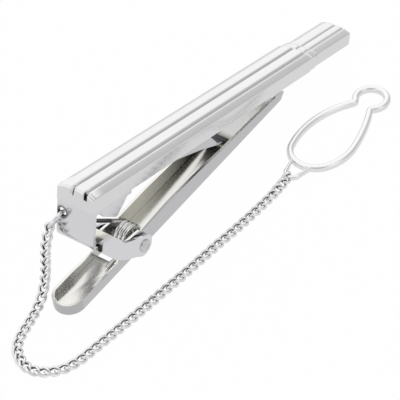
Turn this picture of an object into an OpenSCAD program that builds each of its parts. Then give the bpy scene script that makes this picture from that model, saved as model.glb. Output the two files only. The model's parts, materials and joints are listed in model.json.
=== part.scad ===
// Tie clip with a sprung lever, a fixed jaw, a safety chain and a button loop.
// The clip is drawn lying as it rests: on the round ends of its hinge ears and
// on the far lower edge of its bar. The chain and the loop lie on the table.

/* [Bar] */
// Length of the bar from the bracket's end wall to the tip
bar_l = 57; // [50:0.5:66]
// How far the bar stands out past the bracket's end wall
bar_overhang = 0.25; // [0.1:0.05:0.4]
// Width of the bar
bar_w = 5.4; // [5:0.1:6]
// Height of the two ridges above the bar's back
bar_crown_h = 2.45; // [2.2:0.05:3]
// Height of the bar at its two long edges
bar_edge_h = 1.95; // [1.7:0.05:2.1]
// Sheet thickness of the bar's shell
bar_sheet = 0.5; // [0.35:0.05:0.6]
// Thickness of the plate that closes the bar's back
back_t = 0.4; // [0.3:0.05:0.6]
// Length of the wide part of the bar, up to the first cross groove
main_l = 46.45; // [40:0.05:48]
// Length of the collar between the two cross grooves
collar_l = 1.35; // [1:0.05:2]
// Width of each cross groove
cross_groove_w = 0.15; // [0.1:0.05:0.3]
// How far the tip stands in from the wide part, all round
tip_inset = 0.28; // [0.2:0.02:0.4]

/* [Hinge bracket] */
// Sheet thickness of the bracket
bracket_sheet = 0.45; // [0.35:0.05:0.6]
// Height of the bracket from the bar's back to its floor's underside
bracket_h = 5.45; // [5:0.05:6]
// Length of the bracket's floor
floor_l = 3.9; // [3.4:0.1:4.6]
// Outer bend radius between end wall and floor
bend_r = 1.2; // [1:0.1:2]
// Distance of the hinge pin from the bar's end
pivot_x = 10.45; // [9.5:0.05:11.5]
// Distance of the hinge pin below the bar's back
pivot_drop = 9.64; // [9:0.02:10.5]
// Radius of the ears' round ends
ear_r = 1.45; // [1.3:0.05:1.6]
// Diameter of the hole that holds the clip ring
ring_hole_d = 1.2; // [1.1:0.05:1.4]

/* [Hinge pin] */
// Diameter of the pin
pin_d = 1.1; // [0.9:0.05:1.3]
// Diameter of the pin's riveted heads
pin_head_d = 1.7; // [1.5:0.05:2]
// Height of a head above the ear
pin_head_h = 0.3; // [0.2:0.05:0.5]
// Running clearance of the lever on the pin, on the radius
pin_clearance = 0.04; // [0.02:0.01:0.08]

/* [Lever] */
// Outer width of the lever
lever_w = 4.14; // [3.8:0.02:4.2]
// Sheet thickness of the lever
lever_sheet = 0.37; // [0.3:0.01:0.45]
// Length from the pin to the tip
lever_tip_l = 31.7; // [28:0.1:34]
// Length from the pin to the end of the thumb plate
thumb_l = 13.4; // [12:0.1:14]
// Height of the pin above the lever's underside
lever_pin_h = 0.79; // [0.7:0.01:0.9]
// Greatest height of the lever's side walls
lever_wall_h = 3.27; // [3:0.01:3.5]
// Height of the toe's centre above the pin
toe_rise = 0.61; // [0.5:0.01:0.7]
// Radius of the toe that presses on the bar
toe_r = 0.7; // [0.5:0.05:0.9]
// Gap between the toe and the bar's back when the clip is shut
toe_gap = 0.08; // [0.05:0.01:0.15]

/* [Fixed jaw] */
// Width of the fixed jaw
jaw_w = 2.9; // [2.4:0.05:3]
// Sheet thickness of the fixed jaw
jaw_sheet = 0.4; // [0.3:0.05:0.5]
// Where the fixed jaw starts, from the bar's end
jaw_x = 13; // [12.5:0.1:14.5]
// Length of the fixed jaw
jaw_l = 16.4; // [14:0.1:17]
// How far the fixed jaw reaches below the bar
jaw_drop = 4; // [3.4:0.05:4.1]

/* [Spring] */
// Diameter of the spring's wire
spring_wire_d = 0.46; // [0.4:0.01:0.47]
// Mean diameter of the coil
spring_coil_d = 2.92; // [2.7:0.02:3]
// Distance between neighbouring turns
spring_pitch = 0.88; // [0.88:0.01:0.92]
// How far the coil's centre sits above the pin's
spring_rise = 0.3; // [0.1:0.05:0.4]

/* [Clip ring] */
// Diameter of the clip ring's wire
clip_ring_wire_d = 0.45; // [0.35:0.05:0.5]
// Mean radius of the clip ring
clip_ring_r = 1.27; // [1.24:0.01:1.35]

/* [Chain] */
// Pitch of the chain's links
chain_pitch = 1.175; // [1.1:0.005:1.25]
// Diameter of the links' wire
link_wire_d = 0.39; // [0.3:0.01:0.39]
// Mean width of a link
link_w = 1.2; // [1.15:0.01:1.25]
// Play between two links
link_play = 0.06; // [0.05:0.01:0.1]
// Turn of a link's ends against its middle, in degrees
link_twist = 50; // [45:1:55]

/* [Button loop] */
// Mean length of the loop's oval
oval_l = 14.8; // [13:0.1:17]
// Mean width of the loop's oval
oval_w = 7.15; // [6.5:0.05:8]
// Height of the loop's strip
loop_h = 1.15; // [0.95:0.05:1.3]
// Thickness of the loop's strip
loop_t = 0.48; // [0.4:0.02:0.6]
// Inner radius of the round hole that takes the button's shank
button_hole_r = 1.92; // [1.6:0.02:2.2]
// Width of the neck between the oval and the round hole
neck_w = 2.1; // [1.8:0.05:2.4]
// Mean radius of the eye that takes the chain
eye_r = 0.95; // [0.85:0.05:1.1]
// Diameter of the eye's wire
eye_wire_d = 0.5; // [0.4:0.05:0.5]

/* [Hidden] */
$fn = 48;

// Overrun of cuts past the faces that they open
cut = 0.5;

// Shut pose of the bar: round ends and far edge touch the table
half_w = bar_w/2;
rest_reach = norm([bar_l - pivot_x, pivot_drop]);
rest_pitch = atan2(pivot_drop, bar_l - pivot_x) + asin(ear_r/rest_reach);
rest_lift = bar_l*sin(rest_pitch);

// Shut pose of the lever: its toe lies just under the bar
toe_s = lever_tip_l - toe_r;
toe_reach = norm([toe_s, toe_rise]);
lever_angle = asin((pivot_drop - toe_gap - toe_r)/toe_reach) - atan2(toe_rise, toe_s);

// Places along the bar
groove_1 = main_l;
collar_x = groove_1 + cross_groove_w;
groove_2 = collar_x + collar_l;
tip_x = groove_2 + cross_groove_w;

// A point of the bar's frame, seen in the table's frame
function on_table(p) = [
    p.x*cos(rest_pitch) + p.z*sin(rest_pitch),
    p.y,
    rest_lift - p.x*sin(rest_pitch) + p.z*cos(rest_pitch)];

// A direction of the bar's frame, seen in the table's frame
function turned(d) = [
    d.x*cos(rest_pitch) + d.z*sin(rest_pitch),
    d.y,
    d.z*cos(rest_pitch) - d.x*sin(rest_pitch)];

function unit(v) = v/norm(v);

// Points of a smooth curve through the route, with steps points a stretch
function smooth_point(a, b, c, d, t) =
    0.5*(2*b + (c - a)*t + (2*a - 5*b + 4*c - d)*t*t + (3*b - a - 3*c + d)*t*t*t);
function smooth(p, steps) = concat(
    [for (i = [0:len(p) - 2], k = [0:steps - 1])
        smooth_point(p[max(i - 1, 0)], p[i], p[i + 1], p[min(i + 2, len(p) - 1)], k/steps)],
    [p[len(p) - 1]]);

// Length along a line of points, up to each point
function run_lengths(p, i = 0, sum = 0) =
    i == len(p) - 1 ? [sum] : concat([sum], run_lengths(p, i + 1, sum + norm(p[i + 1] - p[i])));

// The point at length s along a line of points
function along(p, lengths, s, i = 0) =
    i >= len(p) - 2 || lengths[i + 1] >= s
        ? p[i] + (p[i + 1] - p[i])*(s - lengths[i])/(lengths[i + 1] - lengths[i])
        : along(p, lengths, s, i + 1);

// Tube round closed or open rings of points
module tube(rings, closed = false) {
    n = len(rings);
    m = len(rings[0]);
    points = [for (r = rings) each r];
    turns = closed ? n : n - 1;
    walls = [for (i = [0:turns - 1], j = [0:m - 1])
        let (a = i*m, b = ((i + 1) % n)*m, k = (j + 1) % m)
        each [[a + j, b + k, a + k], [a + j, b + j, b + k]]];
    caps = closed ? [] : concat(
        [for (j = [1:m - 2]) [0, j, j + 1]],
        [for (j = [1:m - 2]) [(n - 1)*m, (n - 1)*m + j + 1, (n - 1)*m + j]]);
    polyhedron(points = points, faces = concat(walls, caps), convexity = 6);
}

// Section of the bar
// Where the first groove lies, as a share of the half width
groove_1_share = 0.02;
// Where the second groove lies, as a share of the half width
groove_2_share = -0.51;
// Width of a groove as a share of the bar's width
groove_share = 0.03;
// Depth of a groove as a share of the crown height
groove_depth_share = 0.13;
// Steps of a ridge's curve
ridge_steps = 6;

// Points from a to b whose middle rises above the straight line
function ridge(a, b, rise) = [for (i = [0:ridge_steps])
    let (t = i/ridge_steps) a + (b - a)*t + [0, 4*rise*t*(1 - t)]];

// Outline of the bar's top and sides, drawn in by inset
function bar_section(inset) = let (
        w = half_w - inset,
        edge = bar_edge_h - inset,
        crown = bar_crown_h - inset,
        rise = (bar_crown_h - bar_edge_h)/2,
        g = groove_share*bar_w/2,
        deep = crown - groove_depth_share*bar_crown_h,
        g1 = groove_1_share*half_w,
        g2 = groove_2_share*half_w)
    concat(
        [[w, 0], [w, edge - rise]],
        ridge([w - rise/2, edge], [g1 + g, crown - rise/4], rise),
        [[g1, deep]],
        ridge([g1 - g, crown - rise/4], [g2 + g, crown - rise/4], rise/3),
        [[g2, deep]],
        ridge([g2 - g, crown - rise/2], [-w + rise/4, edge], rise/4),
        [[-w, edge - rise/3], [-w, 0]]);

// A length of the bar, from x to x + length
module bar_length(x, length, inset) {
    translate([x, 0, 0])
        rotate([90, 0, 90])
            linear_extrude(height = length)
                polygon(bar_section(inset));
}

// Radius of the bar's rounded ends, as a share of its crown height
end_round_share = 0.2;
end_r = end_round_share*bar_crown_h;

// Space that the bar's rounded ends leave, from x0 to x1
module end_rounding(x0, x1) {
    translate([0, half_w + cut, 0])
        rotate([90, 0, 0])
            linear_extrude(height = bar_w + 2*cut)
                rounded_top(x0, x1);
}

// Side view of the bar with its two upper corners rounded
module rounded_top(x0, x1) {
    translate([x0, -cut])
        square([x1 - x0, bar_crown_h - end_r + cut]);
    translate([x0 + end_r, -cut])
        square([x1 - x0 - 2*end_r, bar_crown_h + 2*cut]);
    for (x = [x0 + end_r, x1 - end_r])
        translate([x, bar_crown_h - end_r])
            circle(r = end_r);
}

// Where a groove's cut stops on the bar's end face, as a share of the crown
end_groove_share = 0.42;

// Grooves that run on down the bar's end face
module end_grooves() {
    size = groove_share*bar_w;
    for (g = [groove_1_share, groove_2_share])
        translate([-bar_overhang, g*half_w, end_groove_share*bar_crown_h])
            rotate([0, 0, 45])
                translate([-size, -size, 0])
                    cube([2*size, 2*size, bar_crown_h]);
}

// Places a piece of the clip as the clip rests on the table
module resting() {
    translate([-origin.x, -origin.y, 0])
        translate([0, 0, rest_lift])
            rotate([0, rest_pitch, 0])
                children();
}

// Places a piece that is measured on the table
module laid() {
    translate([-origin.x, -origin.y, 0])
        children();
}

// Shell of the bar's wide part, closed at its near end
module main_bar() {
    color([0.93, 0.93, 0.94])
        resting()
            difference() {
                intersection() {
                    bar_length(-bar_overhang, main_l + bar_overhang, 0);
                    end_rounding(-bar_overhang, main_l + bar_l);
                }
                intersection() {
                    bar_length(bar_sheet, main_l, bar_sheet);
                    translate([0, -half_w, back_t])
                        cube([bar_l, bar_w, bar_crown_h]);
                }
                back_seat();
                end_grooves();
            }
}

// Seat of the back plate in the shell
module back_seat() {
    translate([bar_sheet, -half_w + bar_sheet, -cut])
        cube([main_l, bar_w - 2*bar_sheet, back_t + cut]);
}

// Flat plate that closes the shell from behind, inside its walls
module back_plate() {
    color([0.8, 0.8, 0.82])
        resting()
            translate([bar_sheet, -half_w + bar_sheet, 0])
                cube([main_l - bar_sheet - plug_l, bar_w - 2*bar_sheet, back_t]);
}

// How far the tip's plug reaches into the shell, as a share of the collar
plug_share = 1.6;
plug_l = plug_share*collar_l;
// Clearance of the plug in shell and collar
plug_play = 0.05;

// Band between the two cross grooves
module bar_collar() {
    color([0.9, 0.9, 0.92])
        resting()
            difference() {
                bar_length(collar_x, collar_l, tip_inset/2);
                bar_length(collar_x - cut, collar_l + 2*cut, bar_sheet);
            }
}

// Slim end of the bar with the plug that joins it to the shell
module bar_tip() {
    color([0.93, 0.93, 0.94])
        resting() {
            intersection() {
                bar_length(tip_x, bar_l - tip_x, tip_inset);
                end_rounding(-bar_l, bar_l);
            }
            bar_length(main_l - plug_l, tip_x - main_l + plug_l, bar_sheet + plug_play);
        }
}

// Hinge bracket

// Outline of an ear below the floor: shares of the pin's distance and drop
ear_heel_shares = [[0.144, 0.514], [0.153, 0.633], [0.195, 0.674], [0.383, 0.851], [0.526, 0.954],
    [0.67, 1.032], [0.842, 1.089]];
ear_brow_shares = [[0.616, 0.752], [0.57, 0.715], [0.526, 0.654], [0.369, 0.514]];
// Directions from the pin where the straight edges meet the round end
ear_round_angles = [-105, 55];

// Outline of a side tab: shares of the tab's length and height
tab_shares = [[0, 0], [0.02, 0.19], [0.16, 0.54], [0.57, 1], [0.64, 0.96], [1, 0]];
// Place, length and height of a side tab, as shares of the pin's distance
tab_x_share = 0.096;
tab_l_share = 0.536;
tab_h_share = 0.23;
// Length of the pad under the bar, as a share of the pin's distance
pad_share = 0.67;

function ear_outline() = concat(
    [for (s = ear_heel_shares) [s.x*pivot_x, -s.y*pivot_drop]],
    [for (a = ear_round_angles) [pivot_x + ear_r*cos(a), -pivot_drop + ear_r*sin(a)]],
    [for (s = ear_brow_shares) [s.x*pivot_x, -s.y*pivot_drop]]);

// A flat plate of the side view, as thick as the sheet, on both sides
module side_plates() {
    for (y = [-half_w + bracket_sheet, half_w])
        translate([0, y, 0])
            rotate([90, 0, 0])
                linear_extrude(height = bracket_sheet)
                    children();
}

// Side view of pad, end wall and floor, folded from one strip
module bracket_strip() {
    pad_l = pad_share*pivot_x;
    inner_r = bend_r - bracket_sheet;
    translate([0, -bracket_sheet])
        square([pad_l, bracket_sheet]);
    translate([0, -bracket_h + bend_r])
        square([bracket_sheet, bracket_h - bend_r]);
    translate([bend_r, -bracket_h])
        square([floor_l - bend_r, bracket_sheet]);
    intersection() {
        translate([bend_r, -bracket_h + bend_r])
            difference() {
                circle(r = bend_r);
                circle(r = inner_r);
            }
        translate([0, -bracket_h])
            square([bend_r, bend_r]);
    }
}

// Where the clip ring's hole lies: across the wall and below the bar
ring_hole_y_share = 0.73;
ring_hole_z_share = 0.306;
ring_hole = [bracket_sheet/2, ring_hole_y_share*half_w, -ring_hole_z_share*bracket_h];

module hinge_bracket() {
    tab_x = tab_x_share*pivot_x;
    tab_l = tab_l_share*pivot_x;
    tab_h = tab_h_share*pivot_x;
    color([0.82, 0.82, 0.84])
        resting()
            difference() {
                union() {
                    translate([0, half_w, 0])
                        rotate([90, 0, 0])
                            linear_extrude(height = bar_w)
                                bracket_strip();
                    side_plates()
                        polygon([for (s = tab_shares) [tab_x + s.x*tab_l, -s.y*tab_h]]);
                    side_plates()
                        union() {
                            polygon(ear_outline());
                            translate([pivot_x, -pivot_drop])
                                circle(r = ear_r);
                        }
                }
                translate([pivot_x, 0, -pivot_drop])
                    rotate([90, 0, 0])
                        cylinder(d = pin_d, h = bar_w + 2*cut, center = true);
                translate([0, ring_hole.y, ring_hole.z])
                    rotate([0, 90, 0])
                        cylinder(d = ring_hole_d, h = 2*(bracket_sheet + cut), center = true);
                relief_cuts();
            }
}

// Corner reliefs that part the ears from the bend: shares of the floor's length
relief_x_share = 0.23;
relief_w_share = 0.15;

module relief_cuts() {
    for (side = [-1, 1])
        translate([relief_x_share*floor_l, side*half_w - bracket_sheet, -bracket_h - cut])
            cube([relief_w_share*floor_l, 2*bracket_sheet, bend_r + cut]);
}

// Fixed jaw

// Underside of the jaw's tongue: shares of its length and of its drop
tongue_shares = [[0, 0.1], [0.33, 0.37], [0.61, 0.575], [0.8, 0.77], [0.91, 0.93], [0.96, 1],
    [1, 0.93]];
// Slanted front edge of the jaw's side walls, in the same shares
jaw_edge_shares = [[0.61, 0], [0.74, 0.34], [0.86, 0.8]];

// Points of a strip of thickness t whose underside follows the given points
function strip_outline(p, t) = let (n = len(p)) concat(p,
    [for (i = [n - 1:-1:0])
        let (d = unit(p[min(i + 1, n - 1)] - p[max(i - 1, 0)])) p[i] + t*[-d.y, d.x]]);

module fixed_jaw() {
    tongue = [for (s = tongue_shares) [jaw_x + s.x*jaw_l, -s.y*jaw_drop]];
    edge = [for (s = jaw_edge_shares) [jaw_x + s.x*jaw_l, -s.y*jaw_drop]];
    wall = concat([[jaw_x, 0]], edge, [tongue[3], tongue[2], tongue[1], tongue[0]]);
    color([0.75, 0.76, 0.76])
        resting() {
            translate([0, jaw_w/2, 0])
                rotate([90, 0, 0])
                    linear_extrude(height = jaw_w)
                        polygon(strip_outline(tongue, jaw_sheet));
            for (y = [-jaw_w/2 + jaw_sheet, jaw_w/2])
                translate([0, y, 0])
                    rotate([90, 0, 0])
                        linear_extrude(height = jaw_sheet)
                            polygon(wall);
        }
}

// Hinge pin with a riveted head on each ear
module hinge_pin() {
    reach = half_w + pin_head_h;
    color([0.7, 0.7, 0.72])
        resting()
            translate([pivot_x, 0, -pivot_drop])
                rotate([90, 0, 0]) {
                    cylinder(d = pin_d, h = 2*half_w, center = true);
                    for (side = [-1, 1])
                        translate([0, 0, side*(half_w + pin_head_h/2)])
                            cylinder(d = pin_head_d, h = pin_head_h, center = true);
                }
}

// Lever

// Top edge of the lever's side walls: shares of the thumb's length, of the
// tip's length and of the walls' height above the underside
thumb_top_shares = [[1, 0.46], [0.64, 0.46], [0.5, 0.41], [0.34, 0.4], [0.26, 0.75], [0.194, 1]];
tip_top_shares = [[0, 0.89], [0.02, 0.77], [0.21, 0.795], [0.4, 0.72], [0.55, 0.61], [0.76, 0.51],
    [0.965, 0.38], [1, 0.3]];
// Lower corner at the tip, as a share of the walls' height
tip_round_share = 0.24;
// Window in the floor that the coil passes, as shares of the thumb's length
window_back_share = 0.3;
window_front_share = 0.17;

module lever_side() {
    thumb = [for (s = thumb_top_shares) [-s.x*thumb_l, s.y*lever_wall_h]];
    tip = [for (s = tip_top_shares) [s.x*lever_tip_l, s.y*lever_wall_h]];
    corner = tip_round_share*lever_wall_h;
    polygon(concat(thumb, tip, [[lever_tip_l, corner], [lever_tip_l - corner, 0], [-thumb_l, 0]]));
}

// Plan of the lever with a half round thumb end
module lever_plan(inset) {
    r = lever_w/2 - inset;
    translate([-thumb_l + lever_w/2, 0])
        circle(r = r);
    translate([-thumb_l + lever_w/2, -r])
        square([thumb_l + lever_tip_l - lever_w/2, 2*r]);
}

module lever() {
    window_back = window_back_share*thumb_l;
    window_front = window_front_share*thumb_l;
    inner_w = lever_w - 2*lever_sheet;
    window_y = coil_y - spring_wire_d;
    color([0.78, 0.79, 0.77])
        resting()
            translate([pivot_x, 0, -pivot_drop])
                rotate([0, -lever_angle, 0])
                    translate([0, 0, -lever_pin_h])
                        difference() {
                            union() {
                                intersection() {
                                    translate([0, lever_w/2, 0])
                                        rotate([90, 0, 0])
                                            linear_extrude(height = lever_w)
                                                lever_side();
                                    difference() {
                                        linear_extrude(height = lever_wall_h)
                                            lever_plan(0);
                                        translate([0, 0, lever_sheet])
                                            linear_extrude(height = lever_wall_h)
                                                lever_plan(lever_sheet);
                                    }
                                }
                                toe();
                            }
                            translate([0, 0, lever_pin_h])
                                rotate([90, 0, 0])
                                    cylinder(r = pin_d/2 + pin_clearance, h = lever_w + 2*cut,
                                        center = true);
                            translate([-window_back, window_y, -cut])
                                cube([window_back + window_front, inner_w/2 - window_y,
                                    lever_sheet + 2*cut]);
                        }
}

// Rounded toe between the walls at the tip
module toe() {
    inner_w = lever_w - 2*lever_sheet;
    translate([toe_s, inner_w/2, lever_pin_h + toe_rise])
        rotate([90, 0, 0])
            cylinder(r = toe_r, h = inner_w);
    translate([toe_s - toe_r, -inner_w/2, lever_sheet])
        cube([2*toe_r, inner_w, lever_pin_h + toe_rise - lever_sheet]);
}

// Torsion spring: lower leg on the lever's floor, a coil round the pin and an
// upper leg that leans on the bracket's end wall

// Rings for a turn of the coil and sides of the wire
spring_ring_steps = 8;
spring_sides = 6;
// Where the coil's near turn lies across the clip, as a share of the half width
spring_y_share = -0.29;
// Whole turns of the coil between its two legs
spring_turns = 2;
// Where the upper leg ends on the end wall, as a share of the bracket's height
spring_top_share = 0.55;
// How far the lower leg reaches over the thumb plate, as a share of its length
spring_low_share = 0.58;
// Clearance of the spring's legs from what they lean on
spring_seat = 0.05;

coil_r = spring_coil_d/2;
coil_x = pivot_x;
coil_z = -pivot_drop + spring_rise;
coil_y = spring_y_share*half_w;
leg_top = [bracket_sheet + spring_wire_d/2 + spring_seat, -spring_top_share*bracket_h];

// Angles at which straight legs leave the coil for the point p and reach it from there
function leave_angle(p) = let (v = p - [coil_x, coil_z]) atan2(v.y, v.x) - acos(coil_r/norm(v));
function reach_angle(p) = let (v = p - [coil_x, coil_z]) atan2(v.y, v.x) + acos(coil_r/norm(v));

// Points of the leg on the lever's floor, in the bar's frame
function on_lever(s, z) = [
    pivot_x + s*cos(lever_angle) - z*sin(lever_angle),
    -pivot_drop + s*sin(lever_angle) + z*cos(lever_angle)];
leg_z = lever_sheet - lever_pin_h + spring_wire_d/2 + spring_seat;
leg_low = on_lever(-spring_low_share*thumb_l, leg_z);
leg_bend = on_lever(-window_back_share*thumb_l, leg_z + spring_seat);
coil_start = reach_angle(leg_bend);
coil_end = leave_angle(leg_top) + 360*spring_turns;

coil_steps = ceil((coil_end - coil_start)/360*spring_ring_steps);
spring_end_y = coil_y + spring_pitch*(coil_end - coil_start)/360;
spring_path = concat(
    [[leg_low.x, coil_y, leg_low.y], [leg_bend.x, coil_y, leg_bend.y]],
    [for (i = [0:coil_steps])
        let (a = coil_start + (coil_end - coil_start)*i/coil_steps)
        [coil_x + coil_r*cos(a), coil_y + spring_pitch*(a - coil_start)/360, coil_z + coil_r*sin(a)]],
    [[leg_top.x, spring_end_y, leg_top.y]]);

// Rings of a wire along a path, square to it, with a fixed sideways direction
function wire_rings(path, d, sides, across) = let (n = len(path)) [for (i = [0:n - 1])
    let (t = unit(path[min(i + 1, n - 1)] - path[max(i - 1, 0)]),
        u = unit(across - (across*t)*t),
        v = cross(t, u))
    [for (j = [0:sides - 1]) path[i] + d/2*(cos(360*j/sides)*u + sin(360*j/sides)*v)]];

// Least distance between points of the coil that are over half a turn apart
spring_apart = min([for (i = [0:len(spring_path) - 1], j = [0:len(spring_path) - 1])
    if (j - i > spring_ring_steps/2) norm(spring_path[j] - spring_path[i])]);
echo(str("least gap of the spring to itself: ", spring_apart - spring_wire_d, " mm"));

module torsion_spring() {
    color([0.6, 0.61, 0.62])
        resting()
            tube(wire_rings(spring_path, spring_wire_d, spring_sides, [0, 1, 0]));
}

// Clip ring

// Direction from the hole to the ring's far point, and along its wire there
ring_out = unit([-0.496, 0.372, -0.785]);
ring_along = unit(cross(cross(ring_out, [-0.855, -0.371, 0.364]), ring_out));
ring_normal = cross(ring_along, ring_out);
ring_centre = ring_hole + clip_ring_r*ring_out;
ring_far = ring_hole + 2*clip_ring_r*ring_out;
// Angle of the split where the ring closes
ring_split = 3;

// Turns a piece so that its x, y and z lie along three square directions
module along_axes(x, y, z, at) {
    multmatrix([
        [x.x, y.x, z.x, at.x],
        [x.y, y.y, z.y, at.y],
        [x.z, y.z, z.z, at.z]])
        children();
}

module clip_ring() {
    color([0.72, 0.72, 0.73])
        resting()
            along_axes(ring_out, ring_along, cross(ring_out, ring_along), ring_centre)
                rotate([0, 0, 90 + ring_split/2])
                    rotate_extrude(angle = 360 - ring_split)
                        translate([clip_ring_r, 0])
                            circle(d = clip_ring_wire_d, $fn = 24);
}

// Chain

// Route of the chain on the table, from the clip ring to the loop's eye
route_laid = [
    [-2.95, 2.9, 8], [-3.4, 2.9, 6.1], [-3.75, 2.9, 4.2], [-4.35, 2.9, 2.4], [-5.5, 2.75, 0.95],
    [-7.15, 2.35, 0.5], [-8.9, 1.9, 0.5], [-10.65, 1.5, 0.5], [-12.1, 0.95, 0.5], [-13.2, -0.05, 0.5],
    [-13.85, -1, 0.5], [-14.3, -2.3, 0.5], [-14.2, -3.6, 0.5], [-13.5, -4.8, 0.5],
    [-12.6, -5.75, 0.5], [-11.55, -6.35, 0.5], [-9.8, -6.85, 0.5], [-7.15, -7.2, 0.5],
    [-4.65, -7.55, 0.5], [-2.05, -7.9, 0.5], [0.7, -8.25, 0.5], [3.55, -8.55, 0.5],
    [6.7, -8.9, 0.5], [10.8, -9.3, 0.5], [13.2, -9.5, 0.5], [16.65, -9.9, 0.5],
    [20.35, -10.2, 0.5], [24.05, -10.4, 0.52], [26.3, -10.4, 0.64], [28.15, -10.3, 0.75]];
ring_pull = unit(route_laid[0] - on_table(ring_far));
route = concat([on_table(ring_far) - (clip_ring_wire_d + link_play)/2*ring_pull], route_laid);

route_fine = smooth(route, 6);
route_lengths = run_lengths(route_fine);
route_l = route_lengths[len(route_lengths) - 1];
link_count = round(route_l/chain_pitch);
run_count = 8;

// Places where one link meets the next
joints = [for (i = [0:link_count]) along(route_fine, route_lengths, route_l*i/link_count)];

// First and last link of each run
function run_first(k) = round(link_count*(k - 1)/run_count);

// Rings of a link's wire: a rounded oblong with its ends turned about its length
link_ring_steps = 12;
link_sides = 6;
// Power that squares the oval off
link_power = 0.8;
function powered(v) = sign(v)*pow(abs(v), link_power);
function link_point(half_l, t) = let (
        x = half_l*powered(cos(t)),
        y = link_w/2*powered(sin(t)),
        turn = link_twist*x/half_l)
    [x, y*cos(turn), y*sin(turn)];
function link_rings(half_l) = [for (i = [0:link_ring_steps - 1])
    let (a = 360/link_ring_steps,
        p = link_point(half_l, i*a),
        t = unit(link_point(half_l, (i + 0.5)*a) - link_point(half_l, (i - 0.5)*a)),
        u = unit(p - (p*t)*t),
        v = cross(t, u))
    [for (j = [0:link_sides - 1])
        p + link_wire_d/2*(cos(360*j/link_sides)*u + sin(360*j/link_sides)*v)]];

// Roll of the first and the last link, which pass the ring's and the eye's wire
first_roll = 14;
last_roll = 45;
// Links over which the last link's roll builds up
roll_links = 3;

// Frame of link i: along the chain, across it and out of its plane
function link_along(i) = unit(joints[i + 1] - joints[i]);
function link_across(i) = unit(cross([0, 0, 1], link_along(i)));
function link_roll(i) = i == 0
    ? first_roll
    : last_roll*max(0, i - link_count + 1 + roll_links)/roll_links;

module link(i) {
    d = link_along(i);
    across = link_across(i);
    half_l = (norm(joints[i + 1] - joints[i]) + link_wire_d + link_play)/2;
    along_axes(d, across, cross(d, across), (joints[i] + joints[i + 1])/2)
        rotate([link_roll(i), 0, 0])
            tube(link_rings(half_l), closed = true);
}

module chain_run(k) {
    color([0.7, 0.7, 0.71])
        laid()
            for (i = [run_first(k):run_first(k + 1) - 1])
                link(i);
}

// Button loop

loop_end = joints[link_count];
// Direction from the chain's end into the eye, and turn of the oval
eye_turn = -18;
oval_turn = -2.5;
// How much the oval narrows towards the round hole, as a share
oval_taper_share = 0.21;
// Where the oval starts and how it stands to the eye, as shares of the eye
oval_gap_share = 1.15;
oval_side_share = 0.2;
// Where the round hole lies past the oval's end, as shares of its radius
hole_gap_share = 0.84;
hole_side_share = 0.3;
oval_steps = 72;

eye_inner_r = eye_r - (eye_wire_d + link_play)/2;
eye_at = [loop_end.x, loop_end.y] + eye_inner_r*[cos(eye_turn), sin(eye_turn)];
oval_at = eye_at + [oval_l/2 + oval_gap_share*eye_r, -oval_side_share*eye_r];
hole_at = oval_at + [cos(oval_turn), sin(oval_turn)]*(oval_l/2 + hole_gap_share*button_hole_r)
    - [0, hole_side_share*button_hole_r];

function oval(a, b) = [for (i = [0:oval_steps - 1])
    let (t = 360*i/oval_steps) [a*cos(t), b*sin(t)*(1 - oval_taper_share*cos(t))]];

module oval_area(inset) {
    translate(oval_at)
        rotate(oval_turn)
            polygon(oval((oval_l + loop_t)/2 - inset, (oval_w + loop_t)/2 - inset));
}

module hole_area(inset) {
    translate(hole_at)
        circle(r = button_hole_r + loop_t - inset);
}

module button_loop() {
    color([0.93, 0.93, 0.93])
        laid() {
            linear_extrude(height = loop_h)
                difference() {
                    union() {
                        oval_area(0);
                        hole_area(0);
                    }
                    oval_area(loop_t);
                    hole_area(loop_t);
                    translate(hole_at)
                        rotate(atan2(hole_at.y - oval_at.y, hole_at.x - oval_at.x))
                            translate([-oval_l/4 - button_hole_r, -neck_w/2])
                                square([oval_l/4 + button_hole_r, neck_w]);
                }
            difference() {
                translate([eye_at.x, eye_at.y, loop_end.z])
                    rotate_extrude()
                        translate([eye_r, 0])
                            circle(d = eye_wire_d, $fn = 24);
                linear_extrude(height = loop_h + cut)
                    oval_area(loop_t/2);
            }
        }
}

// Box of the whole part, which sets the origin at its middle
tip_h = bar_crown_h - tip_inset;
link_corners = [for (i = [0:link_count - 1])
    let (d = link_along(i), across = link_across(i), up = cross(d, across),
        mid = (joints[i] + joints[i + 1])/2,
        half_l = (norm(joints[i + 1] - joints[i]) + link_wire_d + link_play)/2)
    for (ring = link_rings(half_l), p = ring) mid + p.x*d + p.y*across + p.z*up];
oval_reach = norm([(oval_l + loop_t)/2*sin(oval_turn), (oval_w + loop_t)/2*cos(oval_turn)]);
low_x = min([for (p = link_corners) p.x]);
high_y = max([for (p = link_corners) p.y]);
high_x = on_table([bar_l, 0, tip_h*0.9]).x;
low_y = oval_at.y - oval_reach;
origin = [(low_x + high_x)/2, (low_y + high_y)/2];

main_bar();
back_plate();
bar_collar();
bar_tip();
hinge_bracket();
fixed_jaw();
hinge_pin();
lever();
torsion_spring();
clip_ring();
chain_run(1);  // chain_run_1
chain_run(2);  // chain_run_2
chain_run(3);  // chain_run_3
chain_run(4);  // chain_run_4
chain_run(5);  // chain_run_5
chain_run(6);  // chain_run_6
chain_run(7);  // chain_run_7
chain_run(8);  // chain_run_8
button_loop();
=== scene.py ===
# %% [markdown]
# # A tie clip with a safety chain
# A bright metal bar, a sprung lever hinged under it, a small fixed jaw, and a chain
# that ends in a button loop. The whole is taken to be about 71 mm long with its
# chain laid out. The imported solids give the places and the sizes. This lesson gives
# each piece its rounded edges, its wire and its finish, one step at a time, and
# draws the bar's grooves, the links, the spring's wire and the loop closer to the
# photograph than the solids do.

import json
import math

import bmesh
import bpy
import numpy as np
from mathutils import Matrix, Vector

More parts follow.
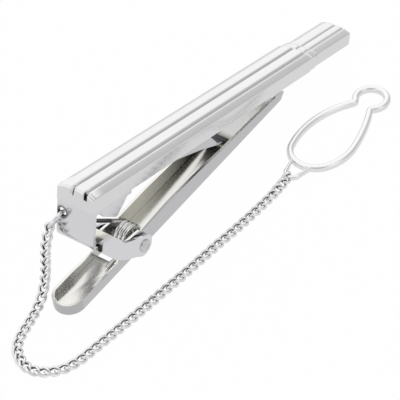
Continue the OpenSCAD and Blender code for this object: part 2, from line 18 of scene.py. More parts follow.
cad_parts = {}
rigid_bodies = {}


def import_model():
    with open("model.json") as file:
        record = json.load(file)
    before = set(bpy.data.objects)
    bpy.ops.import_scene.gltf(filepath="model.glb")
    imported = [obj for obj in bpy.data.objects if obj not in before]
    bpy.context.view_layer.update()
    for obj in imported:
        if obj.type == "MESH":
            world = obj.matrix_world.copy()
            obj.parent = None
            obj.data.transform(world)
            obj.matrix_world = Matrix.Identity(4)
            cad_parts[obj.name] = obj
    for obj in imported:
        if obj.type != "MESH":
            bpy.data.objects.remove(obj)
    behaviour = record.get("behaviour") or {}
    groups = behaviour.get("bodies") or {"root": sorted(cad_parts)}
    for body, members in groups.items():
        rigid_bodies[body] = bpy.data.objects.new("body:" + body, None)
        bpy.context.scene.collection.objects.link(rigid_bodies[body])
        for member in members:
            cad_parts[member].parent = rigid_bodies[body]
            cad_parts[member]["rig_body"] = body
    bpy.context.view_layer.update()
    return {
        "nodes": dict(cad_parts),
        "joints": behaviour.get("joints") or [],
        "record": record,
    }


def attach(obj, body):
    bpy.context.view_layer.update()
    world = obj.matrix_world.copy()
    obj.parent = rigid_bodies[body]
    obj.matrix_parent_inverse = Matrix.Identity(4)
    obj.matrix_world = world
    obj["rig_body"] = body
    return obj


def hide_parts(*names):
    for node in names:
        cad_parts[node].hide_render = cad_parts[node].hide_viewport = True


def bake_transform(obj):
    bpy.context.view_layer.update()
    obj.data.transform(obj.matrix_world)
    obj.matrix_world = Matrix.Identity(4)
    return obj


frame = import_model()
nodes = frame["nodes"]
joint = {j["name"]: j for j in frame["joints"]}
print("solids:", len(nodes), "joints:", len(joint))

# %% [markdown]
# ## The camera
# The photograph was taken from above the thumb end, with a long lens and a slight
# lean. Its place was worked out from the clip's own edges, and is kept here as a
# step away from the hinge pin, so it follows the part if its origin moves.

# %% Camera
MM = 0.001
hinge = Vector(joint["lever_hinge"]["pos_m"])
CAMERA_STEP = Vector((-109.416, -99.601, 144.741))*MM
CAMERA_RIGHT = Vector((0.576526, -0.814615, -0.063398))
CAMERA_DOWN = Vector((-0.588398, -0.360083, -0.723966))
LENS = 152.845


def camera_like_photo():
    """A camera whose columns are the photograph's right, up and back."""
    data = bpy.data.cameras.new("camera")
    data.lens = LENS
    data.sensor_width = 36
    data.clip_start = 0.01
    view = bpy.data.objects.new("camera", data)
    bpy.context.scene.collection.objects.link(view)
    back = CAMERA_RIGHT.cross(-CAMERA_DOWN)
    turn = Matrix((CAMERA_RIGHT, -CAMERA_DOWN, back)).transposed().to_4x4()
    view.matrix_world = Matrix.Translation(hinge + CAMERA_STEP) @ turn
    bpy.context.scene.camera = view
    return view


camera = camera_like_photo()
print("camera at", [round(v, 4) for v in camera.location])

# %% [markdown]
# ## A frame of axes along the bar
# The clip rests at a slant, so its pieces are easier to describe along the bar:
# length from the bracket's end wall, width across, height above the flat back.
# The record's face mount says which way the back looks, and the hinge pin fixes
# the rest.

# %% Bar axes
# The hinge pin's place along the bar, and how far it is below the flat back
PIN_ALONG, PIN_BELOW = 10.45, 9.64
back_face = next(m for m in frame["record"]["mounts"] if m["name"] == "tie_face")
bar_up = -Vector(back_face["axis"]).normalized()
bar_across = Vector((0, 1, 0))
bar_along = bar_across.cross(bar_up)
bar_start = hinge - bar_along*PIN_ALONG*MM + bar_up*PIN_BELOW*MM
BAR = Matrix.Translation(bar_start) @ Matrix(
    (bar_along, bar_across, bar_up)).transposed().to_4x4() @ Matrix.Scale(MM, 4)
print("bar points along", [round(v, 3) for v in bar_along])

# %% [markdown]
# ## Node expressions
# A finish is a sum of patterns, and a bent wire is a sum of sines. A small class
# wraps a node's socket and takes plain arithmetic, so that a line of Python reads
# as the maths that it adds to the tree.

# %% Node maths


class Wire:
    """A socket that can be added, multiplied and so on inside a node tree."""

    def __init__(self, board, socket):
        self.board, self.socket = board, socket

    def maths(self, operation, *values):
        """A Math node's result."""
        return self.board.add("ShaderNodeMath", {"operation": operation}, list(values))

    def __add__(self, other):
        return self.maths("ADD", self, other)

    def __sub__(self, other):
        return self.maths("SUBTRACT", self, other)

    def __rsub__(self, other):
        return self.maths("SUBTRACT", other, self)

    def __mul__(self, other):
        return self.maths("MULTIPLY", self, other)

    def __truediv__(self, other):
        return self.maths("DIVIDE", self, other)

    def __rtruediv__(self, other):
        return self.maths("DIVIDE", other, self)

    __radd__ = __add__
    __rmul__ = __mul__

    def sine(self):
        return self.maths("SINE", self)

    def cosine(self):
        return self.maths("COSINE", self)

    def powered(self, power):
        """The power of the size, with the sign kept."""
        return self.maths("SIGN", self)*self.maths("POWER", self.maths("ABSOLUTE", self), power)

    def above(self, low, high):
        """0 below low, 1 above high, and smooth between them."""
        return self.board.add("ShaderNodeMapRange", {"interpolation_type": "SMOOTHSTEP"},
                              {"Value": self, "From Min": low, "From Max": high})

    def between(self, low, high, soft):
        """1 from low to high, and 0 outside, with soft ends."""
        return self.above(low - soft, low + soft)*(1 - self.above(high - soft, high + soft))


class Board:
    """A node tree of any kind, with one method that adds any node."""

    def __init__(self, tree):
        self.tree = tree

    def put(self, socket, value):
        """Links a wire to the socket, or sets a plain value on it."""
        if isinstance(value, Wire):
            self.tree.links.new(value.socket, socket)
        elif value is not None:
            socket.default_value = value

    def add(self, kind, settings, values, output=0):
        """A node with its settings, then its sockets' values or links."""
        node = self.tree.nodes.new(kind)
        for key, value in settings.items():
            setattr(node, key, value)
        pairs = values.items() if isinstance(values, dict) else enumerate(values)
        for key, value in pairs:
            self.put(node.inputs[key], value)
        return Wire(self, node.outputs[output]) if node.outputs else None

    def where(self):
        """The surface point in the piece's own metres."""
        return self.add("ShaderNodeTexCoord", {}, {}, "Object")

    def split(self, vector):
        """The three parts of a vector."""
        node = self.tree.nodes.new("ShaderNodeSeparateXYZ")
        self.put(node.inputs[0], vector)
        return [Wire(self, node.outputs[k]) for k in range(3)]

    def joined(self, x, y, z):
        """A vector of three parts."""
        return self.add("ShaderNodeCombineXYZ", {}, [x, y, z])

    def noise(self, scale, detail, roughness=0.5, stretch=(1, 1, 1)):
        """Noise in the piece's own metres, drawn out along an axis by stretch."""
        at = self.add("ShaderNodeMapping", {}, {"Vector": self.where(), "Scale": stretch})
        return self.add("ShaderNodeTexNoise", {},
                        {"Vector": at, "Scale": scale, "Detail": detail,
                         "Roughness": roughness})

    def blend(self, factor, low, high):
        """A colour that runs from low to high as the factor runs from 0 to 1."""
        node = self.tree.nodes.new("ShaderNodeMix")
        node.data_type = "RGBA"
        self.put(node.inputs["Factor"], factor)
        for key, value in (("A", low), ("B", high)):
            socket = next(s for s in node.inputs if s.name == key and s.type == "RGBA")
            self.put(socket, value if isinstance(value, Wire) else (*value, 1))
        return Wire(self, next(s for s in node.outputs if s.type == "RGBA"))

    def bump(self, height, strength, distance):
        """A normal that is tilted by a height."""
        return self.add("ShaderNodeBump", {},
                        {"Height": height, "Strength": strength, "Distance": distance})


def new_material(name):
    """An empty material and the board of its tree."""
    material = bpy.data.materials.new(name)
    material.use_nodes = True
    material.node_tree.nodes.clear()
    return material, Board(material.node_tree)


print("node maths ready")

# %% [markdown]
# ## Bright plate
# The whole clip is bright white metal. A mirror of pure white would vanish on a white page, so each
# piece gets its own reflectance, a slow waviness and a faint grain that breaks up the reflections.
# A piece can also have marks of painted shade and painted highlight: places given in the bar's own
# millimetres where the photograph shows it darker, paler or tinted. A link can have painted shade
# on its inner side, and a wire on its sides turned away from the view.

# %% Plate
FROM_BAR = BAR.inverted()
# Fineness of the waves and of the grain, and the height that a full wave stands for
WAVE_SCALE, GRAIN_SCALE, WAVE_HEIGHT = 140, 2600, 0.04*MM
# The darker tone of the slow change, and the grain's shares in gloss and in height
DULLER, GRAIN_GLOSS, GRAIN_HEIGHT = 0.94, 0.5, 0.02


def bar_place(board):
    """The surface point in the bar's millimetres, as three sockets."""
    return [sum((FROM_BAR[row][k]*axis for k, axis in enumerate(board.split(board.where()))),
                FROM_BAR[row][3]) for row in range(3)]


def plate(name, colour, roughness, wave, marks=(), deep=None, edge=None):
    """Polished plate: slow colour change, fine grain in the gloss, slight waves.

    The inner shade tone paints shade on a link's inner side, and edge paints shade on a wire's
    sides turned away from the view.
    """
    material, board = new_material(name)
    cloud = board.noise(WAVE_SCALE, 2.0)
    grain = board.noise(GRAIN_SCALE, 3.0, 0.6, (0.25, 1, 1))
    tone = board.blend(cloud, tuple(c*DULLER for c in colour), colour)
    if marks:
        place = bar_place(board)
        for shape, tint in marks:
            tone = board.blend(shape(*place), tone, tint)
    # Painted shade on a link's inner side
    if deep:
        inside = board.add("ShaderNodeAttribute", {"attribute_name": "inside"}, {}, "Fac")
        tone = board.blend(inside.above(0.1, 0.6), tone, deep)
    # Painted shade on the sides turned away from the view
    if edge:
        away = board.add("ShaderNodeLayerWeight", {}, {"Blend": 0.5}, "Facing")
        tone = board.blend(away.above(0.55, 0.95), tone, edge)
    gloss = roughness + (grain - 0.5)*roughness*GRAIN_GLOSS
    normal = board.bump(cloud + grain*GRAIN_HEIGHT, wave, WAVE_HEIGHT)
    shader = board.add("ShaderNodeBsdfPrincipled", {}, {
        "Base Color": tone, "Roughness": gloss, "Metallic": 1.0, "Normal": normal})
    board.add("ShaderNodeOutputMaterial", {}, {"Surface": shader})
    return material


def soft(low, high, blur):
    """The ends of a span that are blurred by the same length."""
    return (low - blur, low + blur), (high - blur, high + blur)


def zone(share=1.0, **spans):
    """A soft edged box in the bar's millimetres, with its share of the tint.

    Each axis has two pairs: where the box grows to full strength, and where it fades.
    None leaves that end open.
    """
    def strength(x, y, z):
        level = share
        for axis, (growth, fade) in spans.items():
            at = {"x": x, "y": y, "z": z}[axis]
            if growth:
                level = level*at.above(*growth)
            if fade:
                level = level*(1 - at.above(*fade))
        return level
    return strength


print("plate and zones ready")

# %% [markdown]
# ## Painted shade and highlights on the bar and the lever
# In the photograph each groove has a grey shade beside it and a black end, and the cross grooves
# are dark at the near edge; these are painted on as shade and shadow. The lever's far inner wall is
# painted pale behind the coil and nearly black as shadow under the jaw, and its toe gets a painted
# highlight.

# %% Marks on the bar
# Where the two grooves lie across the bar, and across its collar and tip
GROOVES = (0.3, -1.5)
TIP_GROOVES = (0.054, -1.377)
# Half width of each groove's painted black shadow at its end
GROOVE_ENDS = (0.07, 0.24)
CROSS_GROOVES = (46.5, 48.05)
# Painted black shadow and painted grey shade
SHADOW_BLACK = (0.03, 0.03, 0.03)
SHADE = (0.35, 0.35, 0.36)
MAIN_PART = (None, (46.4, 46.5))
ON_TOP = ((1.5, 1.6), None)
bar_painted_shade = []
# Painted shade beside each groove, and a painted black shadow at its end
for g, half in zip(GROOVES, GROOVE_ENDS):
    bar_painted_shade += [
        (zone(0.4, x=MAIN_PART, y=soft(g - 0.05, g + 0.05, 0.04), z=ON_TOP), SHADE),
        (zone(0.3, x=MAIN_PART, y=soft(g + 0.1, g + 0.4, 0.12), z=ON_TOP), SHADE),
        (zone(x=(None, (-0.1, 0.2)), y=soft(g - half, g + half, 0.04), z=((1.3, 1.5), None)),
         SHADOW_BLACK)]
# Painted shadow at the near edge of each cross groove
for c in CROSS_GROOVES:
    bar_painted_shade.append((zone(x=soft(c - 0.1, c + 0.1, 0.06), y=soft(-2.7, -2.2, 0.1),
                           z=((1.2, 1.5), None)), (0.1, 0.1, 0.1)))
print("marks on the bar:", len(bar_painted_shade))

# %% Marks on the lever
# The thumb end's reach from the pin, half the lever's width, and its turn in the bar's axes
THUMB_L, LEVER_HALF_W, LEVER_TURN = 13.4, 2.07, math.radians(15.476)


def thumb_outside_shade(x, y, z):
    """Painted shade on the outer side of the thumb's round end."""
    along = (x - PIN_ALONG)*math.cos(LEVER_TURN) + (z + PIN_BELOW)*math.sin(LEVER_TURN)
    past = along + (THUMB_L - LEVER_HALF_W)
    radius = (past*past + y*y).powered(0.5)
    return (1 - past.above(-0.1, 0))*radius.above(LEVER_HALF_W - 0.06, LEVER_HALF_W - 0.02)


def outer_side_shade(x, y, z):
    """Painted shade on the two outer sides of the lever."""
    return 1 - y.between(-2.03, 2.03, 0.01)


FAR_WALL = soft(1.62, 1.74, 0.03)
UNDER_JAW = (29.5, 31)
lever_light_and_shade = [
    # Painted shade on the far inner wall: all of it, then paler from the coil on, then darker
    # towards the jaw
    (zone(y=FAR_WALL, x=((-2.4, -2.0), UNDER_JAW)), (0.60, 0.60, 0.58)),
    (zone(y=FAR_WALL, x=((11, 13), UNDER_JAW)), (0.72, 0.71, 0.64)),
    (zone(y=FAR_WALL, x=((14, 28), UNDER_JAW)), (0.04, 0.04, 0.035)),
    # Painted shadow on the floor under the jaw's end, a painted highlight on the toe, and painted
    # shadow on the floor under the coil
    (zone(0.9, y=soft(-1.7, 1.6, 0.08), x=soft(29.1, 31.0, 0.6)), (0.10, 0.085, 0.04)),
    (zone(y=soft(-1.7, 1.74, 0.03), x=((31.2, 32), None)), (0.99, 0.99, 0.98)),
    (zone(y=soft(-1.6, 1.6, 0.08), x=soft(6.5, 12.8, 0.5)), (0.05, 0.05, 0.05)),
    # Painted shade on the outer sides and on the thumb's round end
    (outer_side_shade, (0.62, 0.62, 0.63)),
    (thumb_outside_shade, (0.55, 0.55, 0.56)),
]
print("marks on the lever:", len(lever_light_and_shade))

# %% [markdown]
# ## Painted shade at the hinge
# The inside of the folded bracket shows dark in the photograph and gets painted shade, its floor is
# painted paler, and the notch where floor and ear part gets a painted black shadow, as does a band
# round the ring's hole. The jaw's far end and the spring leg that runs up to the end wall get
# painted shade too.

# %% Marks at the hinge
# The clip ring's hole in the end wall, and the space between the ears
HOLE_Y, HOLE_Z, HOLE_R = 1.971, -1.667, 0.6
INSIDE = soft(-2.2, 2.2, 0.05)


def hole_shade(x, y, z):
    """Painted shade in the bore of the ring's hole and on a narrow band round it on the end wall.
    """
    from_hole = ((y - HOLE_Y)*(y - HOLE_Y) + (z - HOLE_Z)*(z - HOLE_Z)).powered(0.5)
    return (1 - x.above(0.46, 0.5))*(1 - from_hole.above(HOLE_R + 0.1, HOLE_R + 0.4))*0.85


bracket_painted_shade = [
    # Painted shade inside the bracket, its floor painted paler, a painted black shadow in the
    # notch, and painted shade round the ring's hole
    (zone(y=INSIDE, x=soft(0.44, 9.0, 0.02), z=soft(-4.7, -0.1, 0.2)), (0.12, 0.12, 0.12)),
    (zone(y=INSIDE, x=soft(0.6, 9.0, 0.1), z=soft(-5.05, -4.9, 0.03)), (0.76, 0.75, 0.68)),
    (zone(y=(None, (-2.2, -2.1)), x=soft(0.7, 1.9, 0.15), z=soft(-6.1, -5.0, 0.1)), SHADOW_BLACK),
    (hole_shade, (0.14, 0.14, 0.14)),
]
# Painted shade on the jaw's far end
jaw_painted_shade = [(zone(x=((27.6, 28.4), None)), (0.10, 0.10, 0.11))]
# Painted shade on the spring's upper leg
spring_painted_shade = [(zone(x=(None, (8.2, 8.9)), z=((-9.8, -9.2), None)), (0.09, 0.09, 0.09))]
print("marks at the hinge:", len(bracket_painted_shade) + len(jaw_painted_shade) + len(spring_painted_shade))

# %% [markdown]
# ## The finishes
# One finish for each material slot of the record: colour, roughness and waviness, with the marks of
# painted shade and highlight, and the painted shade on inner and turned away sides, where a piece
# has them. Every solid gets its finish too, so that nothing is left bare.

# %% Finishes
# The edge tones paint shade on the sides of pins and wires turned away from the view, and the inner
# tone paints shade inside the chain's links
finish = {name: plate(name, *look, **extra) for name, look, extra in (
    ("bar_plate", ((0.855, 0.855, 0.86), 0.12, 0.12), {"marks": bar_painted_shade}),
    ("back_plate", ((0.92, 0.92, 0.915), 0.24, 0.2), {}),
    ("bracket_plate", ((0.82, 0.815, 0.84), 0.13, 0.3), {"marks": bracket_painted_shade}),
    ("jaw_plate", ((0.66, 0.66, 0.67), 0.18, 0.25), {"marks": jaw_painted_shade}),
    ("pin_steel", ((0.70, 0.70, 0.71), 0.2, 0.4), {"edge": (0.06, 0.06, 0.06)}),
    ("lever_plate", ((0.88, 0.87, 0.83), 0.2, 0.12), {"marks": lever_light_and_shade}),
    ("spring_steel", ((0.88, 0.88, 0.87), 0.14, 0.2),
     {"marks": spring_painted_shade, "edge": (0.10, 0.10, 0.10)}),
    ("ring_wire", ((0.86, 0.86, 0.87), 0.12, 0.2), {"edge": (0.05, 0.05, 0.05)}),
    ("chain_wire", ((0.95, 0.95, 0.95), 0.12, 0.1),
     {"deep": (0.08, 0.08, 0.085), "edge": (0.16, 0.16, 0.165)}),
    ("loop_plate", ((0.93, 0.93, 0.93), 0.18, 0.15), {}),
)}
slot_of = {s["node"]: s["material_slot"] for s in frame["record"]["subparts"]}
for name, solid in nodes.items():
    solid.data.materials.clear()
    solid.data.materials.append(finish[slot_of[name]])
print("finishes:", ", ".join(finish))

# %% [markdown]
# ## Dressing a node
# Each finished piece is a mesh at the origin that rides on the body of the solid
# it stands for unless told not to, hides that solid and takes its material slot.

# %% Dressing helper


def dressed(name, mesh, *stands_for, smooth=35, ride=True):
    """An object for the mesh that stands for the named nodes."""
    mesh.name = name
    if not mesh.materials:
        mesh.materials.append(finish[slot_of[stands_for[0]]])
    for face in mesh.polygons:
        face.use_smooth = True
    mesh.set_sharp_from_angle(angle=math.radians(smooth))
    piece = bpy.data.objects.new(name, mesh)
    bpy.context.scene.collection.objects.link(piece)
    if ride:
        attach(piece, nodes[stands_for[0]]["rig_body"])
    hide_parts(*stands_for)
    return piece


def mesh_from(points, faces):
    """A mesh from points in the bar's millimetres, with its faces turned outwards."""
    mesh = bpy.data.meshes.new("mesh")
    mesh.from_pydata([tuple(BAR @ Vector(q)) for q in points], [], faces)
    work = bmesh.new()
    work.from_mesh(mesh)
    bmesh.ops.recalc_face_normals(work, faces=work.faces)
    work.to_mesh(mesh)
    work.free()
    return mesh


def loft(rings):
    """A closed skin over rings of points, with flat ends."""
    count = len(rings[0])
    points = [q for ring in rings for q in ring]
    faces = [(a*count + j, a*count + (j + 1) % count, (a + 1)*count + (j + 1) % count,
              (a + 1)*count + j) for a in range(len(rings) - 1) for j in range(count)]
    faces += [tuple(range(count)), tuple(range((len(rings) - 1)*count, len(rings)*count))]
    return mesh_from(points, faces)


print("dressing helper ready")

# %% [markdown]
# ## The bar
# The bar's top is ridged along its length: a broad slope on the far side, a
# narrow ridge in the middle and a flat slope on the near side, with a fine groove
# between each two. The section is drawn once and swept, and its rings are drawn in
# where an end is rounded. At the near end the grooves dive down the end face.

# %% Bar
# Half width, heights of the crown and of the edges, sheet and back plate
HALF_W, CROWN_H, EDGE_H, SHEET, BACK = 2.7, 2.45, 1.95, 0.5, 0.4
# Places along the bar, the overhang past the end wall, and how far the tip stands in
MAIN_L, COLLAR_X, COLLAR_L, TIP_X, BAR_L = 46.45, 46.6, 1.35, 48.1, 57.0
OVERHANG, TIP_INSET = 0.25, 0.28
# A groove is a fine line in a wide shallow dip: depth and half width of each
GROOVE_FORM = ((0.2, 0.08), (0.05, 0.22))
# Half width of the dive at a rounded end, and height of the flat part of the sides
DIVE_HALF_W, SIDE_H = 0.1, 0.9


def bezier(a, b, c, d, steps=20):
    """Points of a curve, closer together towards its ends."""
    for k in range(steps + 1):
        t = (1 - math.cos(math.pi*k/steps))/2
        yield tuple(a[i]*(1 - t)**3 + 3*b[i]*t*(1 - t)**2 + 3*c[i]*t*t*(1 - t) + d[i]*t**3
                    for i in range(2))


def bar_outline(far, near):
    """The far slope, the ridge between the grooves, the near slope and its tight corner."""
    top, low = CROWN_H + 0.01, CROWN_H - 0.04
    corner = (0.12 - HALF_W, EDGE_H + 0.04)
    foot = (-HALF_W, EDGE_H - 0.16)
    slope = ((corner[0] - near)/3, (corner[1] - low)/3)
    curves = (
        ((HALF_W, EDGE_H - 0.35), (HALF_W, EDGE_H + 0.2), (1.6, top), (far, top)),
        ((far, top), (far - 0.45, top + 0.02), (near + 0.4, top + 0.01), (near, low)),
        ((near, low), (near + slope[0], low + slope[1] + 0.02),
         (corner[0] - slope[0], corner[1] - slope[1] + 0.02), corner),
        (corner, (corner[0] - 0.07, corner[1] - 0.04), (foot[0], foot[1] + 0.1), foot))
    points = [curves[0][0]]
    for curve in curves:
        points += list(bezier(*curve))[1:]
    return points


def bar_section(dive, grooves):
    """Half widths and heights round the top of the bar; dive is the grooves' extra depth."""
    yield from ((HALF_W, 0), (HALF_W, SIDE_H))
    for y, z in bar_outline(*grooves):
        for g in grooves:
            z -= sum(depth*math.exp(-((y - g)/wide)**2) for depth, wide in GROOVE_FORM)
            z -= dive*math.exp(-((y - g)/DIVE_HALF_W)**2)
        yield y, z
    yield from ((-HALF_W, SIDE_H), (-HALF_W, 0))


def bar_ring(x, side=0.0, top=0.0, dive=0.0, recess=0.0):
    """A ring of the bar at x, drawn in at its sides and top."""
    grooves = GROOVES if x < COLLAR_X else TIP_GROOVES
    ring = [(x, y*(1 - side/HALF_W), z - top*z/CROWN_H) for y, z in bar_section(dive, grooves)]
    for y, z in ((-1, 0), (-1, recess), (1, recess), (1, 0)):
        ring.append((x, y*(HALF_W - SHEET), z))
    return ring


def bar_end(x, radius, outward, base=0.0, side=0.14, steps=7, dive=0.0, recess=0.0):
    """Rings of a rounded end at x that faces outward (-1 near, 1 far)."""
    rings = []
    for k in range(steps + 1):
        turn = math.radians(90*k/steps)
        place = x - outward*radius*(1 - math.cos(turn))
        rings.append(bar_ring(place, base + side*(1 - math.sin(turn)),
                              base + radius*(1 - math.sin(turn)), dive*(1 - k/steps), recess))
    return rings if outward < 0 else rings[::-1]


shell_rings = bar_end(-OVERHANG, 0.42, -1, dive=0.9) + [
    bar_ring(SHEET), bar_ring(SHEET, recess=BACK)]
shell_rings += [bar_ring(x, recess=BACK) for x in np.linspace(2, MAIN_L - 0.5, 24)]
shell_rings += bar_end(MAIN_L, 0.24, 1, side=0.12, steps=5, recess=BACK)
shell = dressed("bar_shell", loft(shell_rings), "main_bar")

band_rings = bar_end(COLLAR_X, 0.3, -1, TIP_INSET/2, 0.14, 5)
band_rings += bar_end(COLLAR_X + COLLAR_L, 0.3, 1, TIP_INSET/2, 0.14, 5)
band = dressed("bar_band", loft(band_rings), "bar_collar")

plug = SHEET + 0.05
point_rings = [bar_ring(x, plug, plug) for x in (MAIN_L - 1.6*COLLAR_L, TIP_X - 0.04)]
point_rings += bar_end(TIP_X, 0.2, -1, TIP_INSET, 0.1, 4)
point_rings += [bar_ring(x, TIP_INSET, TIP_INSET) for x in np.linspace(TIP_X + 1, BAR_L - 1, 6)]
point_rings += bar_end(BAR_L, 0.42, 1, TIP_INSET, 0.2, 7)
point = dressed("bar_point", loft(point_rings), "bar_tip")
print("faces of the bar:", *(len(p.data.polygons) for p in (shell, band, point)))

# %% [markdown]
# ## Pressed parts
# Sheet metal never has knife edges. A copy of a solid is welded and its flat
# triangles are joined, and then a Bevel modifier rounds what is sharp. The bends
# of a fold are rounder than its cut edges, so an edge can weigh more. Hardened
# normals shade a flat face evenly, and only the lever does without them.

# %% Pressed parts
WELD = 2e-6
SHARP_DEGREES, FLAT_DEGREES = 30, 0.6
# Weight of an edge where nothing else is said
PLAIN_EDGE = 0.4


def softened(node, name, width, weigh=None, harden=True):
    """A welded copy of a solid with rounded edges, on the same body."""
    mesh = nodes[node].data.copy()
    work = bmesh.new()
    work.from_mesh(mesh)
    bmesh.ops.remove_doubles(work, verts=work.verts, dist=WELD)
    bmesh.ops.dissolve_degenerate(work, dist=WELD, edges=work.edges)
    bmesh.ops.dissolve_limit(work, angle_limit=math.radians(FLAT_DEGREES),
                             verts=work.verts, edges=work.edges, delimit={"NORMAL"})
    weights = work.edges.layers.float.new("bevel_weight_edge")
    for edge in work.edges:
        if edge.calc_face_angle(0) > math.radians(SHARP_DEGREES):
            edge[weights] = PLAIN_EDGE if weigh is None else weigh(edge)
    work.to_mesh(mesh)
    work.free()
    piece = dressed(name, mesh, node, smooth=SHARP_DEGREES)
    rounding = piece.modifiers.new("rounding", "BEVEL")
    rounding.limit_method = "WEIGHT"
    rounding.width = width*MM
    rounding.segments = 3
    rounding.use_clamp_overlap = True
    rounding.harden_normals = harden
    return piece


# Where the bracket's folds end along the bar and below it
FOLD_END, FOLD_LOW = 4.2, -5.6
# Weights of the bracket's cut edges and of the lever's rims
CUT_EDGE, RIM_EDGE = 0.28, 0.7


def in_bar(edge):
    """The middle of an edge and its direction, in the bar's axes."""
    a, b = (FROM_BAR @ v.co for v in edge.verts)
    return (a + b)/2, (b - a).normalized()


def bracket_fold(edge):
    """Folds between floor or wall and the ears are round; cut edges are only broken."""
    middle, along = in_bar(edge)
    outside = abs(abs(middle.y) - HALF_W) < 0.02
    straight = abs(along.x) > 0.95 or abs(along.z) > 0.95
    fold = outside and straight and middle.x < FOLD_END and middle.z > FOLD_LOW
    return 1.0 if fold else CUT_EDGE


def lever_fold(edge):
    """The floor turns up into the walls in a round fold, and the rims are well rounded too."""
    middle, along = in_bar(edge)
    outside = abs(abs(middle.y) - LEVER_HALF_W) < 0.03
    return 1.0 if outside and abs(along.y) < 0.1 else RIM_EDGE


bracket = softened("hinge_bracket", "bracket", width=0.22, weigh=bracket_fold)
jaw = softened("fixed_jaw", "jaw", width=0.15)
lever = softened("lever", "lever_trough", width=0.14, weigh=lever_fold, harden=False)
print("pressed:", bracket.name, jaw.name, lever.name)

# %% [markdown]
# ## The hinge pin
# The pin is one profile turned about its own axis. Each head is a low dome with a
# shallow groove round its crown.

# %% Hinge pin
# Radius of the shank, then radius and height round a head
SHANK_R = 0.55
HEAD = [(0.85, 0.0), (0.86, 0.1), (0.8, 0.19), (0.66, 0.24), (0.56, 0.2), (0.47, 0.2),
        (0.36, 0.26), (0.2, 0.295), (0.05, 0.3)]


def turned(profile, around=40):
    """A closed body from (radius, place along the pin), turned about the pin."""
    rings = [[(PIN_ALONG + r*math.cos(2*math.pi*k/around), along,
               -PIN_BELOW + r*math.sin(2*math.pi*k/around)) for k in range(around)]
             for r, along in profile]
    return loft(rings)


pin_profile = [(r, -HALF_W - h) for r, h in HEAD[::-1]]
pin_profile += [(SHANK_R, -HALF_W), (SHANK_R, HALF_W)]
pin_profile += [(r, HALF_W + h) for r, h in HEAD]
pin = dressed("pin", turned(pin_profile), "hinge_pin", smooth=50)
print("pin:", len(pin.data.polygons), "faces")

# %% [markdown]
# ## Wires and links by geometry nodes
# Two node groups are built here. One thickens a line of points into a wire whose
# section runs from round to nearly square. The other puts a curb link on each
# point: its wire is a squared oval whose two ends are twisted opposite ways, so
# that it nests in its neighbours. Both end in plain meshes.

# %% Node groups
TURN = 2*math.pi
# Points round a wire's section, round a link and round a link's wire
WIRE_SIDES, LINK_STEPS, LINK_SIDES = 20, 22, 8


def geometry_group(name, inputs):
    """A geometry node group with the named inputs: its board, their wires and their keys."""
    tree = bpy.data.node_groups.new(name, "GeometryNodeTree")
    tree.interface.new_socket("Geometry", in_out="INPUT", socket_type="NodeSocketGeometry")
    keys = {label: tree.interface.new_socket(
        label, in_out="INPUT", socket_type="NodeSocket" + kind).identifier
        for label, kind in inputs.items()}
    tree.interface.new_socket("Geometry", in_out="OUTPUT", socket_type="NodeSocketGeometry")
    board = Board(tree)
    given = tree.nodes.new("NodeGroupInput")
    return board, {s.name: Wire(board, s) for s in given.outputs if s.name}, keys


def end_group(board, given, shape):
    """Realises, smooths, paints and hands out the shape."""
    shape = board.add("GeometryNodeRealizeInstances", {}, {"Geometry": shape})
    shape = board.add("GeometryNodeSetShadeSmooth", {}, {"Geometry": shape})
    shape = board.add("GeometryNodeSetMaterial", {}, {"Geometry": shape,
                                                     "Material": given["Material"]})
    board.add("NodeGroupOutput", {}, {"Geometry": shape})


def bent_circle(board, steps, place):
    """A closed curve whose points stand where place(angle) says."""
    circle = board.add("GeometryNodeCurvePrimitiveCircle", {}, {"Resolution": steps, "Radius": 1.0})
    angle = board.add("GeometryNodeInputIndex", {}, {})*TURN/steps
    return board.add("GeometryNodeSetPosition", {}, {"Geometry": circle,
                                                     "Position": board.joined(*place(angle))})


def wire_group():
    """The group that thickens a line of points into a wire."""
    board, given, keys = geometry_group("wire_along_path", {
        "Width": "Float", "Height": "Float", "Squareness": "Float", "Material": "Material"})
    power = 1 - given["Squareness"]
    section = bent_circle(board, WIRE_SIDES, lambda a: (
        a.cosine().powered(power)*given["Width"]/2, a.sine().powered(power)*given["Height"]/2, 0))
    line = board.add("GeometryNodeMeshToCurve", {}, {"Mesh": given["Geometry"]})
    line = board.add("GeometryNodeSetCurveNormal", {"mode": "Z_UP"}, {"Curve": line})
    shape = board.add("GeometryNodeCurveToMesh", {}, {
        "Curve": line, "Profile Curve": section, "Fill Caps": True})
    end_group(board, given, shape)
    return board.tree, keys


